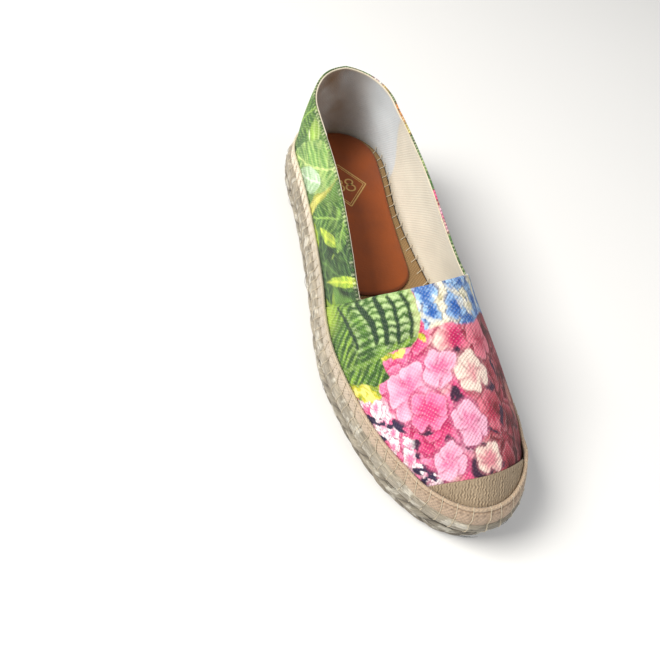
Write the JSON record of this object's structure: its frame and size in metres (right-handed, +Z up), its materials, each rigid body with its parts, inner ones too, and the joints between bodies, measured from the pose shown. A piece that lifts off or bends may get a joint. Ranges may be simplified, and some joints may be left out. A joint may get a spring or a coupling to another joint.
{
  "type": "espadrille",
  "caption": "Slip-on canvas espadrille, right shoe: braided jute sole on a thin rubber outsole, hollow lapped canvas upper, linen toe cap, stitched edge strip and leather heel sock.",
  "frame": {"origin": "bottom centre of the bounding box, on the floor", "axes": "+Z up, +Y from toe to heel, +X to the inner side of the foot"},
  "size_m": [0.0849, 0.255, 0.0864],
  "materials": {
    "outsole_rubber": "matt, dark",
    "jute_braid": "coarse braided plant fibre",
    "printed_canvas": "plain weave with a printed flower pattern",
    "strip_cotton": "smooth woven tape, sewn over",
    "plain_linen": "plain undyed weave",
    "insole_cloth": "flat tan cloth",
    "tan_leather": "semi-matt, stamped"
  },
  "bodies": {
    "root": {"outsole": "outsole_rubber", "jute_sole": "jute_braid", "upper": "printed_canvas", "welt_strip": "strip_cotton", "toe_cap": "plain_linen", "insole": "insole_cloth", "heel_sock": "tan_leather"}
  },
  "joints": []
}
